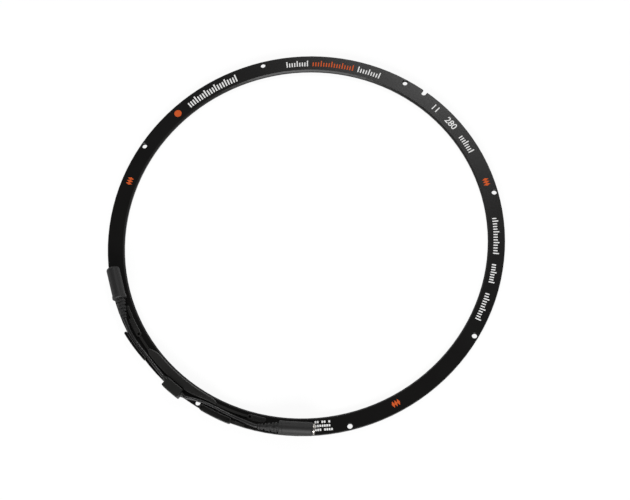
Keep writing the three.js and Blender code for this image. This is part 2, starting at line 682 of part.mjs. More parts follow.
// The left lead's route: distance along the edge, offset inside it, and height of its centre
// above its lowest lie, from the gland to the strain relief.
const LEFT_ROUTE = [
  [-11.3, 2.28, 0.7], [-12.6, 2.4, 0.7], [-15, 2.65, 0.55], [-18.5, 2.95, 0.2],
  [-23, 3.2, 0], [-28, 3.38, 0], [-33, 3.38, 0], [-38, 3, 0], [-43, 2.7, 0],
  [-47, 2.44, 0.1], [-50, 2.28, 0.35], [-53, 2.12, 0.85], [-56, 2.1, 1.6],
  [-59, 2.3, 2.5], [-62, 2.6, 3.4], [-64.5, 2.78, 3.95], [-66.7, 2.88, 4.2],
];

// The right lead's route, in the same terms.
const RIGHT_ROUTE = [
  [11.3, 0.88, 0.7], [12.5, 1.1, 0.7], [15, 2.1, 0.55], [18, 3.3, 0.2], [21.5, 4.4, 0],
  [25, 5.15, 0], [29, 5.65, 0], [34, 5.9, 0], [39, 5.9, 0], [44, 5.6, 0], [49, 5.25, 0],
  [53, 4.95, 0.15], [57, 4.55, 0.7], [61, 4.05, 1.6], [64.5, 3.5, 2.6], [68, 2.95, 3.5],
  [70.5, 2.6, 4], [72.7, 2.42, 4.2],
];

/** A lead laid along its route. */
const lead = (name, route) => piece(
  name,
  cordGeometry(route.map(([distance, offset, rise]) => pointAt(distance, offset, leadZ + rise)),
    LEAD_DIAMETER, LEAD_STEPS, LEAD_SIDES),
  cordJacket,
);

/** A wire joint under the cover, from the chamber to just short of a gland. */
const innerWire = (name, side, startDistance, exitOffset, finish) => {
  const z = seatZ + WIRE_DIAMETER / 2;
  const chamberOffset = outerRadius - rebateMiddle;
  const mouthDistance = side * (BLOCK_LENGTH / 4 - WIRE_DIAMETER);
  const endDistance = side * (BLOCK_LENGTH / 2 - GLAND_NECK_LENGTH - CLEARANCE);
  const points = [
    pointAt(side * startDistance, chamberOffset, z),
    pointAt(mouthDistance, chamberOffset - WIRE_DIAMETER, z),
    pointAt(mouthDistance, BLOCK_INNER_OFFSET, z),
    pointAt(endDistance - side * WIRE_DIAMETER, exitOffset + WIRE_DIAMETER, z),
    pointAt(endDistance, exitOffset, z + WIRE_DIAMETER / 2),
  ];
  const steps = points.length * WIRE_STEPS_PER_POINT;
  return piece(name, cordGeometry(points, WIRE_DIAMETER, steps, WIRE_SIDES), finish);
};

/** The temperature sensor's bead, which lies on the plate under the cover. */
const sensorBead = () => {
  const bead = new THREE.CapsuleGeometry(
    BEAD_DIAMETER / 2, BEAD_LENGTH - BEAD_DIAMETER, 4, HOLE_SEGMENTS / 2);
  const distance = -(TAIL_SLOT_LENGTH + BEAD_LENGTH);
  const place = pointAt(distance, outerRadius - rebateMiddle, seatZ + BEAD_DIAMETER / 2);
  bead.rotateZ(angleAt(distance));
  bead.translate(place.x, place.y, place.z);
  return bead;
};

const ring = new THREE.Group();
ring.add(
  piece('ring_plate', geometryOf(ringPlate()), anodised),
  piece('heater_element', geometryOf(heaterElement()), polyimide),
  piece('backing_ring', geometryOf(backingRing()), foam),
  piece('cable_cover', geometryOf(cableCover()), blackPlastic),
  piece('exit_block', geometryOf(exitBlock()), blackPlastic),
  piece('sensor_gland', geometryOf(gland(-1, LEFT_EXIT_OFFSET)), softPlastic),
  piece('power_gland', geometryOf(gland(1, RIGHT_EXIT_OFFSET)), softPlastic),
  piece('sensor_edge_guide', geometryOf(edgeGuide(-1, LEFT_GUIDE_START,
    LEFT_GUIDE_NEAR_OFFSET, LEFT_GUIDE_FAR_OFFSET, LEFT_GUIDE_WIDTH, 0)), blackPlastic),
  piece('power_edge_guide', geometryOf(edgeGuide(1, RIGHT_GUIDE_START,
    RIGHT_GUIDE_NEAR_OFFSET, RIGHT_GUIDE_FAR_OFFSET, RIGHT_GUIDE_WIDTH, STOP_LENGTH)), blackPlastic),
  piece('sensor_bead', sensorBead(), glassBead),
  innerWire('sensor_wire', -1, TAIL_SLOT_LENGTH, LEFT_EXIT_OFFSET, greyWire),
  innerWire('power_wire', 1, TAIL_SLOT_LENGTH, RIGHT_EXIT_OFFSET, redWire),
  lead('sensor_lead', LEFT_ROUTE),
  lead('power_lead', RIGHT_ROUTE),
  socket(-1, LEFT_TIP_DISTANCE, LEFT_TIP_OFFSET, LEFT_MOUTH_OFFSET,
    housing('sensor_socket_housing', JACK_SLEEVE_DIAMETER + 2 * CLEARANCE),
    sensorJack()),
  socket(1, RIGHT_TIP_DISTANCE, RIGHT_TIP_OFFSET, RIGHT_MOUTH_OFFSET,
    housing('power_socket_housing', SHELL_DIAMETER + 2 * CLEARANCE),
    powerSocket()),
);

export default ring;
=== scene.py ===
"""A dew heater ring for the front of a telescope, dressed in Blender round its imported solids."""
import logging
import math
from dataclasses import dataclass
from enum import Enum
from typing import Callable, Optional, Sequence

import bmesh
import bpy
from mathutils import Matrix, Vector


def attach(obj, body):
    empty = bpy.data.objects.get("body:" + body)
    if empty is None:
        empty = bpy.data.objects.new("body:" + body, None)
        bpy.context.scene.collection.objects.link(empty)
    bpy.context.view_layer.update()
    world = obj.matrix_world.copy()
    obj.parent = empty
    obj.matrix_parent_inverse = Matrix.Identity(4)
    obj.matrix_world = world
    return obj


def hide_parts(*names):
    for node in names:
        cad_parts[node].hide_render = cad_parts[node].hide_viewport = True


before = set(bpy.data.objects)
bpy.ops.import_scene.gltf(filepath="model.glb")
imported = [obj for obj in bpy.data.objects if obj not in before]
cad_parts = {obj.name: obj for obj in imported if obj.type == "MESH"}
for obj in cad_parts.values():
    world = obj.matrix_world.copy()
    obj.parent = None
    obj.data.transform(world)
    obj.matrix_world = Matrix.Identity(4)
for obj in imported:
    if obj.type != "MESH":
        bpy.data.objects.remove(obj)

LOG = logging.getLogger("dew_heater_ring")
MM = 0.001
MICROMETRE = 1e-6

# The ring and where pieces sit on it: millimetres, and degrees from +X.
OUTER_RADIUS = 153.0
INNER_RADIUS = 140.0
MIDDLE_RADIUS = (OUTER_RADIUS + INNER_RADIUS) / 2
FACE_Z = 4.4
SEAT_Z = 4.7
COVER_TOP = 7.4
PAD_TOP = 6.9
CABLE_ANGLE = 216.75
LEAD_DIAMETER = 2.6

# The sockets, in millimetres along their axis from the strain relief's tip. The turned body
# is a little slimmer than the solid, so that its parting line stays in the solid's box.
RELIEF_LENGTH = 15.5
BODY_LENGTH = 25.5
BODY_RADIUS = 5.43
SOLID_RADIUS = 5.5
AXIS_Z = SEAT_Z + SOLID_RADIUS
MOUTH = RELIEF_LENGTH + BODY_LENGTH
BORE_DEPTH = 15.0
CLEARANCE = 0.3
BACK = MOUTH - BORE_DEPTH + CLEARANCE
BROKEN_EDGE = 0.12
FACE_WEIGHT = 80

# The parts inside the sockets: radii and lengths in millimetres.
SNUG = 0.1
SLEEVE_RADIUS = 3.0
JACK_BORE = 1.8
JACK_INSULATOR = 4.0
JACK_FLOOR = 1.0
SHELL_OUTER = 4.2
SHELL_INNER = 3.6
SHELL_PROUD = 1.0
NYLON_OUTER = 3.3
NYLON_INNER = 2.2
CONTACT_OUTER = 1.9
CONTACT_BORE = 1.5
CONTACT_FLOOR = 0.6

# What the procedural materials share.
COAT_ROUGHNESS = 0.12
LEAST_ROUGHNESS = 0.05
FINE_DETAIL = 3.0
BROAD_SCALE = 60.0
BROAD_DETAIL = 4.0
FINE_SHARE = 0.35
BUMP_STRENGTH = 0.5

Point = tuple[float, float, float]
Corner = tuple[float, float]


class Slot(Enum):
    """Names of material slots, listed beside some pieces; nothing here reads them."""

    RING = "anodised_aluminium"
    HEATER = "heater_film"
    BACKING = "backing_rubber"
    COVER = "cover_plastic"
    GLAND = "soft_plastic"
    SOCKET = "socket_moulding"
    JACKET = "cord_jacket"
    NICKEL = "nickel_contact"
    NYLON = "nylon_insulator"
    BEAD = "bead_resin"
    GREY_WIRE = "wire_grey"
    RED_WIRE = "wire_red"


class Side(Enum):
    """The two ways along the ring from the cable exit: the sensor's lead and the power lead."""

    SENSOR = -1
    POWER = 1


def angle_at(distance: float) -> float:
    """Angle of a point along the outer edge.

    Args:
        distance: millimetres along the edge from the cable exit, counter-clockwise.

    Returns:
        The angle from +X, in radians.
    """
    return math.radians(CABLE_ANGLE) + distance / OUTER_RADIUS


def on_ring(distance: float, offset: float, z: float) -> Vector:
    """A point on or over the ring's face.

    Args:
        distance: millimetres along the edge from the cable exit.
        offset: millimetres inside the outer edge.
        z: height in millimetres.

    Returns:
        The point in metres, in the row frame.
    """
    radius = OUTER_RADIUS - offset
    angle = angle_at(distance)
    return Vector((radius * math.cos(angle), radius * math.sin(angle), z)) * MM


@dataclass(frozen=True)
class Finish:
    """A surface: its colour, its gloss and the fine unevenness that it was made with.

    Attributes:
        name: what the finish is called.
        color: linear base colour.
        roughness: mean roughness.
        metallic: 0 for plastics, 1 for bare metal.
        spread: how far the roughness wanders.
        tint: how far the colour wanders, as a share of itself.
        grain: size of the fine texture, in millimetres.
        bump: height of the fine texture, in micrometres.
        coat: weight of a clear outer layer.
        specular: specular level of the base layer.
    """

    name: str
    color: tuple[float, float, float]
    roughness: float
    metallic: float = 0.0
    spread: float = 0.08
    tint: float = 0.12
    grain: float = 0.3
    bump: float = 8.0
    coat: float = 0.0
    specular: float = 0.5

    def material(self) -> bpy.types.Material:
        """Builds the procedural material.

        Returns:
            The material, made once for each finish.
        """
        made = bpy.data.materials.get(self.name)
        if made is not None:
            return made
        made = bpy.data.materials.new(self.name)
        made.use_nodes = True
        nodes, links = made.node_tree.nodes, made.node_tree.links
        shader = nodes["Principled BSDF"]
        shader.inputs["Metallic"].default_value = self.metallic
        shader.inputs["Specular IOR Level"].default_value = self.specular
        shader.inputs["Coat Weight"].default_value = self.coat
        shader.inputs["Coat Roughness"].default_value = COAT_ROUGHNESS
        coordinates = nodes.new("ShaderNodeTexCoord")
        fine = nodes.new("ShaderNodeTexNoise")
        fine.inputs["Scale"].default_value = 1.0 / (self.grain * MM)
        fine.inputs["Detail"].default_value = FINE_DETAIL
        broad = nodes.new("ShaderNodeTexNoise")
        broad.inputs["Scale"].default_value = BROAD_SCALE
        broad.inputs["Detail"].default_value = BROAD_DETAIL
        for noise in (fine, broad):
            links.new(coordinates.outputs["Object"], noise.inputs["Vector"])
        shade = nodes.new("ShaderNodeMapRange")
        shade.inputs["To Min"].default_value = 1.0 - self.tint
        shade.inputs["To Max"].default_value = 1.0 + self.tint
        links.new(broad.outputs["Fac"], shade.inputs["Value"])
        mix = nodes.new("ShaderNodeVectorMath")
        mix.operation = "SCALE"
        mix.inputs[0].default_value = self.color
        links.new(shade.outputs["Result"], mix.inputs["Scale"])
        links.new(mix.outputs["Vector"], shader.inputs["Base Color"])
        gloss = nodes.new("ShaderNodeMapRange")
        gloss.inputs["To Min"].default_value = max(LEAST_ROUGHNESS,
                                                     self.roughness - self.spread)
        gloss.inputs["To Max"].default_value = min(1.0, self.roughness + self.spread)
        both = nodes.new("ShaderNodeMath")
        both.operation = "MULTIPLY_ADD"
        both.inputs[1].default_value = FINE_SHARE
        links.new(fine.outputs["Fac"], both.inputs[0])
        links.new(broad.outputs["Fac"], both.inputs[2])
        links.new(both.outputs["Value"], gloss.inputs["Value"])
        links.new(gloss.outputs["Result"], shader.inputs["Roughness"])
        bump = nodes.new("ShaderNodeBump")
        bump.inputs["Strength"].default_value = BUMP_STRENGTH
        bump.inputs["Distance"].default_value = self.bump * MICROMETRE
        links.new(fine.outputs["Fac"], bump.inputs["Height"])
        links.new(bump.outputs["Normal"], shader.inputs["Normal"])
        return made


ANODISED = Finish("satin_black_anodising", (0.004, 0.0036, 0.0034), 0.28, spread=0.04,
                  tint=0.06, grain=0.18, bump=3.0, specular=0.26)
COVER = Finish("fine_moulded_black", (0.0072, 0.0067, 0.0062), 0.36, grain=0.35, bump=12.0,
               specular=0.5)
BLOCK = Finish("moulded_grey_black", (0.0062, 0.0064, 0.0056), 0.42, grain=0.3, bump=10.0,
               specular=0.4)
SOCKET = Finish("soft_touch_moulding", (0.0098, 0.0095, 0.0095), 0.5, grain=0.25, bump=9.0,
                specular=0.4)
GLAND = Finish("flexible_gland", (0.007, 0.007, 0.0066), 0.44, grain=0.25, bump=8.0,
               specular=0.4)
JACKET = Finish("smooth_cord_jacket", (0.0056, 0.0052, 0.0054), 0.32, spread=0.02, grain=2.5,
                bump=1.0, specular=0.5)
RUBBER = Finish("closed_cell_rubber", (0.012, 0.012, 0.012), 0.85, grain=0.6, bump=60.0)
FILM = Finish("heater_film", (0.32, 0.11, 0.02), 0.35, grain=0.4, bump=4.0, coat=0.3)
NICKEL = Finish("bright_nickel", (0.46, 0.44, 0.41), 0.22, metallic=1.0, tint=0.04, grain=0.2,
                bump=2.0)
NYLON = Finish("natural_nylon", (0.5, 0.48, 0.42), 0.48, grain=0.3, bump=6.0)
RESIN = Finish("dark_resin", (0.03, 0.014, 0.008), 0.22, grain=0.3, bump=3.0, coat=0.5)
GREY_WIRE = Finish("grey_wire", (0.2, 0.2, 0.21), 0.45, grain=0.3, bump=3.0)
RED_WIRE = Finish("red_wire", (0.3, 0.03, 0.02), 0.45, grain=0.3, bump=3.0)
WHITE_INK = Finish("white_ink", (0.88, 0.88, 0.87), 0.6, spread=0.05, tint=0.04, grain=0.15,
                   bump=5.0, specular=0.2)
ORANGE_INK = Finish("orange_ink", (0.62, 0.1, 0.02), 0.6, spread=0.05, tint=0.08, grain=0.15,
                    bump=5.0, specular=0.15)


def soften(obj: bpy.types.Object, width: float, angle: float = 35.0, segments: int = 2) -> None:
    """Rounds an object's sharp edges with a small bevel.

    Args:
        obj: the object.
        width: bevel width in millimetres.
        angle: edges sharper than this many degrees are rounded.
        segments: faces across the bevel.
    """
    bevel = obj.modifiers.new("rounded_edges", "BEVEL")
    bevel.width = width * MM
    bevel.segments = segments
    bevel.limit_method = "ANGLE"
    bevel.angle_limit = math.radians(angle)
    bevel.harden_normals = True
    for polygon in obj.data.polygons:
        polygon.use_smooth = True


def dress(obj: bpy.types.Object, finish: Finish) -> bpy.types.Object:
    """Gives an object its material and logs the finish that it wears.

    Args:
        obj: the object.
        finish: the finish to wear.

    Returns:
        The object.
    """
    obj.data.materials.clear()
    obj.data.materials.append(finish.material())
    LOG.info("%s wears %s", obj.name, finish.name)
    return obj


def mesh_object(name: str, build: bmesh.types.BMesh, smooth: bool = True) -> bpy.types.Object:
    """Turns a bmesh into an object that rides on the part.

    Args:
        name: the object's name.
        build: the bmesh, in metres; it is freed.
        smooth: whether its faces are shaded smooth.

    Returns:
        The object, linked and riding on the part.
    """
    bmesh.ops.recalc_face_normals(build, faces=build.faces)
    mesh = bpy.data.meshes.new(name)
    build.to_mesh(mesh)
    build.free()
    for polygon in mesh.polygons:
        polygon.use_smooth = smooth
    obj = bpy.data.objects.new(name, mesh)
    bpy.context.scene.collection.objects.link(obj)
    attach(obj, "root")
    return obj


@dataclass(frozen=True)
class Profile:
    """A round form about an axis.

    Attributes:
        points: (distance along the axis, radius) in millimetres.
        segments: faces round it.
        closed: whether the last point joins the first.
    """

    points: Sequence[Corner]
    segments: int = 64
    closed: bool = False

    def build(self, radius_at: Optional[Callable[[float, float, float], float]] = None
              ) -> bmesh.types.BMesh:
        """Revolves the profile about +X.

        Args:
            radius_at: changes a radius from (distance, radius, turn in radians).

        Returns:
            The bmesh in metres, its axis along +X from the origin.
        """
        build = bmesh.new()
        rings = []
        for along, radius in self.points:
            if radius == 0:
                rings.append([build.verts.new((along * MM, 0, 0))])
                continue
            ring = []
            for k in range(self.segments):
                turn = 2 * math.pi * k / self.segments
                reach = radius_at(along, radius, turn) if radius_at else radius
                ring.append(build.verts.new(
                    (along * MM, reach * MM * math.cos(turn), reach * MM * math.sin(turn))))
            rings.append(ring)
        pairs = list(zip(rings, rings[1:]))
        if self.closed:
            pairs.append((rings[-1], rings[0]))
        for first, second in pairs:
            for k in range(self.segments):
                after = (k + 1) % self.segments
                corners = [first[k % len(first)], second[k % len(second)],
                           second[after % len(second)], first[after % len(first)]]
                unique = list(dict.fromkeys(corners))
                if len(unique) > 2:
                    build.faces.new(unique)
        return build


def laid_from(tip: Vector, mouth: Vector) -> Matrix:
    """The placing that turns +X into the line from a tip to a mouth.

    Args:
        tip: where the piece's origin goes, in metres.
        mouth: a point that the piece's axis passes through, in metres.

    Returns:
        The transform.
    """
    along = (mouth - tip).normalized()
    across = Vector((0, 0, 1)).cross(along).normalized()
    up = along.cross(across)
    turn = Matrix((along, across, up)).transposed().to_4x4()
    return Matrix.Translation(tip) @ turn


@dataclass
class RingBody:
    """The anodised plate, with the heater and backing ring behind it.

    Attributes:
        edge: width of the rounding on the plate's edges, in millimetres.
        film_edge: the same for the heater.
        backing_edge: the same for the backing ring.
    """

    edge: float = 0.12
    film_edge: float = 0.05
    backing_edge: float = 0.2

    def build(self) -> None:
        """Dresses the plate and what is behind it."""
        plate = dress(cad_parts["ring_plate"], ANODISED)
        soften(plate, self.edge, angle=20.0)
        heater = dress(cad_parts["heater_element"], FILM)
        soften(heater, self.film_edge)
        backing = dress(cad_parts["backing_ring"], RUBBER)
        soften(backing, self.backing_edge, segments=3)


@dataclass(frozen=True)
class RidgeRow:
    """A row of fine moulded ridges that stand up from a flat top.

    Attributes:
        start: distance of the first ridge along the outer edge, in millimetres.
        stop: distance of the last one.
        offset: of the row's middle inside the outer edge.
        top: height of the surface that carries them.
        slant: how far each leans from straight across the ring, in degrees.
        length: of a ridge.
        pitch: from ridge to ridge.
        width: of a ridge at its foot.
        rise: how far it stands up.
        sunk: how deep its foot lies in the surface.
        crest: length and width of its crest, as shares of its foot.
    """

    start: float
    stop: float
    offset: float
    top: float
    slant: float = 45.0
    length: float = 2.2
    pitch: float = 1.0
    width: float = 0.42
    rise: float = 0.16
    sunk: float = 0.048
    crest: Corner = (0.9, 0.45)

    def add_to(self, build: bmesh.types.BMesh) -> None:
        """Adds the row's ridges to a bmesh.

        Args:
            build: the bmesh that takes them, in metres.
        """
        count = round(abs(self.stop - self.start) / self.pitch) + 1
        for k in range(count):
            distance = self.start + (self.stop - self.start) * k / max(1, count - 1)
            centre = on_ring(distance, self.offset, self.top)
            turn = angle_at(distance) + math.radians(self.slant)
            along = Vector((math.cos(turn), math.sin(turn), 0)) * self.length / 2 * MM
            across = Vector((-math.sin(turn), math.cos(turn), 0)) * self.width / 2 * MM
            up = Vector((0, 0, self.rise * MM))
            down = Vector((0, 0, -self.sunk * MM))
            around = ((1, 1), (-1, 1), (-1, -1), (1, -1))
            foot = [build.verts.new(centre + along * a + across * b + down) for a, b in around]
            crest = [build.verts.new(centre + along * self.crest[0] * a
                                     + across * self.crest[1] * b + up) for a, b in around]
            build.faces.new(list(reversed(foot)))
            build.faces.new(crest)
            for side in range(4):
                after = (side + 1) % 4
                build.faces.new((foot[side], foot[after], crest[after], crest[side]))


@dataclass
class CableCover:
    """The moulded cover over the wire joints, with what lies beneath it.

    Attributes:
        edge: width of the rounding on its edges, in millimetres.
        inner_edge: the same for the bead and the wires.
        ridges: the moulded ridges on its tip and its pads.
    """

    edge: float = 0.18
    inner_edge: float = 0.02
    ridges: Sequence[RidgeRow] = (
        RidgeRow(15.5, 25.5, 9.3, COVER_TOP),
        RidgeRow(-55.5, -64.0, 7.15, PAD_TOP, slant=-35.0, length=2.6, pitch=1.2),
        RidgeRow(68.0, 75.5, 8.5, PAD_TOP, slant=35.0, length=2.4, pitch=1.2),
    )

    def build(self) -> None:
        """Dresses the cover and the inner pieces."""
        cover = dress(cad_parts["cable_cover"], COVER)
        soften(cover, self.edge, angle=30.0, segments=3)
        bead = dress(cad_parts["sensor_bead"], RESIN)
        soften(bead, self.inner_edge)
        for node, finish, slot in (("sensor_wire", GREY_WIRE, Slot.GREY_WIRE),
                                   ("power_wire", RED_WIRE, Slot.RED_WIRE)):
            soften(dress(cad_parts[node], finish), self.inner_edge)
        build = bmesh.new()
        for row in self.ridges:
            row.add_to(build)
        dress(mesh_object("moulded_ridges", build, smooth=False), COVER)


@dataclass
class ExitBlock:
    """The block that the leads leave through, with its two glands.

    Attributes:
        edge: width of the rounding on the block's edges, in millimetres.
        gland_edge: the same for the glands.
    """

    edge: float = 0.25
    gland_edge: float = 0.15

    def build(self) -> None:
        """Dresses the block and the glands."""
        block = dress(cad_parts["exit_block"], BLOCK)
        soften(block, self.edge, angle=30.0, segments=3)
        for node in ("sensor_gland", "power_gland"):
            gland = dress(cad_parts[node], GLAND)
            soften(gland, self.gland_edge, segments=3)


@dataclass
class EdgeGuides:
    """The oblong frames that keep the leads on the ring.

    Attributes:
        edge: width of the rounding on their edges, in millimetres.
    """

    edge: float = 0.15

    def build(self) -> None:
        """Dresses both guides."""
        for node in ("sensor_edge_guide", "power_edge_guide"):
            soften(dress(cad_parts[node], COVER), self.edge, angle=30.0)


@dataclass
class Lead:
    """A round lead that lies on the ring from its gland to its strain relief.

    Attributes:
        side: which lead it is.
        route: (distance, offset, rise) in millimetres.
        diameter: of the jacket, in millimetres.
        lie: height of its centre where it lies lowest.
        sides: faces round it.
        pieces: the pieces of the socket on its end; not used.
    """

    side: Side
    route: Sequence[Point]
    pieces: Sequence[bpy.types.Object]
    diameter: float = LEAD_DIAMETER
    lie: float = SEAT_Z + LEAD_DIAMETER / 2
    sides: int = 32

    @property
    def node(self) -> str:
        """The CAD node that the lead stands for."""
        return "sensor_lead" if self.side is Side.SENSOR else "power_lead"

    def line(self, per_span: int = 6) -> list[Vector]:
        """The lead's centre line, a smooth curve through its route.

        Args:
            per_span: points from one route point to the next.

        Returns:
            The points in metres.
        """
        knots = [on_ring(d, o, self.lie + r) for d, o, r in self.route]
        ends = [knots[0] * 2 - knots[1]] + knots + [knots[-1] * 2 - knots[-2]]
        points = []
        for before, start, stop, after in zip(ends, ends[1:], ends[2:], ends[3:]):
            for k in range(per_span):
                t = k / per_span
                points.append(0.5 * (
                    2 * start + (stop - before) * t
                    + (2 * before - 5 * start + 4 * stop - after) * t * t
                    + (3 * start - before - 3 * stop + after) * t ** 3))
        points.append(knots[-1])
        return points

    def build(self) -> bpy.types.Object:
        """Draws the lead as a smooth round cord.

        Returns:
            The cord's object.
        """
        line = self.line()
        build = bmesh.new()
        rings = []
        for index, point in enumerate(line):
            along = (line[min(index + 1, len(line) - 1)] - line[max(index - 1, 0)]).normalized()
            across = Vector((0, 0, 1)).cross(along).normalized()
            up = along.cross(across)
            rings.append([build.verts.new(
                point + (across * math.cos(turn) + up * math.sin(turn)) * self.diameter / 2 * MM)
                for turn in (2 * math.pi * k / self.sides for k in range(self.sides))])
        for first, second in zip(rings, rings[1:]):
            for k in range(self.sides):
                after = (k + 1) % self.sides
                build.faces.new((first[k], first[after], second[after], second[k]))
        build.faces.new(list(reversed(rings[0])))
        build.faces.new(rings[-1])
        obj = dress(mesh_object(self.node + "_jacket", build), JACKET)
        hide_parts(self.node)
        return obj


SENSOR_ROUTE: tuple[Point, ...] = (
    (-11.3, 2.28, 0.7), (-12.6, 2.4, 0.7), (-15, 2.65, 0.55), (-18.5, 2.95, 0.2),
    (-23, 3.2, 0), (-28, 3.38, 0), (-33, 3.38, 0), (-38, 3, 0), (-43, 2.7, 0),
    (-47, 2.44, 0.1), (-50, 2.28, 0.35), (-53, 2.12, 0.85), (-56, 2.1, 1.6),
    (-59, 2.3, 2.5), (-62, 2.6, 3.4), (-64.5, 2.78, 3.95), (-66.7, 2.88, 4.2),
)
POWER_ROUTE: tuple[Point, ...] = (
    (11.3, 0.88, 0.7), (12.5, 1.1, 0.7), (15, 2.1, 0.55), (18, 3.3, 0.2), (21.5, 4.4, 0),
    (25, 5.15, 0), (29, 5.65, 0), (34, 5.9, 0), (39, 5.9, 0), (44, 5.6, 0), (49, 5.25, 0),
    (53, 4.95, 0.15), (57, 4.55, 0.7), (61, 4.05, 1.6), (64.5, 3.5, 2.6), (68, 2.95, 3.5),
    (70.5, 2.6, 4), (72.7, 2.42, 4.2),
)


class Ink(Enum):
    """The inks printed on the face."""

    WHITE = WHITE_INK
    ORANGE = ORANGE_INK


@dataclass(frozen=True)
class TickRow:
    """A row of printed ticks that follows the ring.

    Attributes:
        start: where it begins, in degrees from +X.
        stop: where it ends.
        ink: its colour.
        pitch: distance from tick to tick, in millimetres.
        width: of a tick, in millimetres.
        tall: radial length of the tall ticks, in millimetres.
        short: radial length of the others.
        every: how many ticks from one tall tick to the next.
    """

    start: float
    stop: float
    ink: Ink
    pitch: float = 2.1
    width: float = 0.9
    tall: float = 4.9
    short: float = 3.4
    every: int = 4

    def quads(self) -> list[tuple[float, float, float, float]]:
        """The ticks as (angle in radians, radius, half width, half length) in millimetres."""
        span = math.radians(self.stop - self.start)
        count = max(1, round(span * MIDDLE_RADIUS / self.pitch))
        out = []
        for k in range(count):
            angle = math.radians(self.start) + span * (k + 0.5) / count
            length = self.tall if k % self.every == 0 else self.short
            radius = MIDDLE_RADIUS - (self.tall - length) / 2
            out.append((angle, radius, self.width / 2, length / 2))
        return out


@dataclass(frozen=True)
class DashBlock:
    """A block of printed dashes in rows.

    Attributes:
        angle: where every row begins, in degrees from +X.
        radius: of the innermost row's middle, in millimetres.
        spacing: from row to row.
        pitch: from dash to dash.
        length: of a dash.
        height: of a dash.
        rows: the places that are filled in each row.
    """

    angle: float = 260.1
    radius: float = 143.4
    spacing: float = 2.9
    pitch: float = 1.7
    length: float = 1.2
    height: float = 1.6
    rows: Sequence[Sequence[int]] = ((0, 1, 3, 4, 6), (0, 1, 2, 3, 4, 5, 6), (0, 1, 2, 4, 5, 6, 7))


@dataclass(frozen=True)
class Pointer:
    """A group of three printed diamonds.

    Attributes:
        angles: where the groups' middles are, in degrees from +X.
        radius: of their middles, in millimetres.
        pitch: from diamond to diamond.
        half_width: half a diamond's width.
        half_height: half a diamond's height.
    """

    angles: Sequence[float] = (147.0, 3.7, 284.6)
    radius: float = 146.5
    pitch: float = 2.1
    half_width: float = 1.15
    half_height: float = 2.6


@dataclass(frozen=True)
class Dot:
    """A printed disc.

    Attributes:
        angle: of its centre, in degrees from +X.
        radius: of its centre, in millimetres.
        size: its own radius.
        corners: how many corners it is drawn with.
    """

    angle: float = 120.6
    radius: float = 146.8
    size: float = 2.9
    corners: int = 32


@dataclass(frozen=True)
class Number:
    """A plain number that reads from the ring's outside.

    Attributes:
        digits: what it says.
        angle: of its centre, in degrees from +X.
        radius: of its centre, in millimetres.
        height: of its digits.
        boldness: how far the digits' outlines are moved outwards.
        cap: share of the type size that a digit is tall.
    """

    digits: str
    angle: float
    radius: float = 146.6
    height: float = 5.2
    boldness: float = 0.07
    cap: float = 0.72


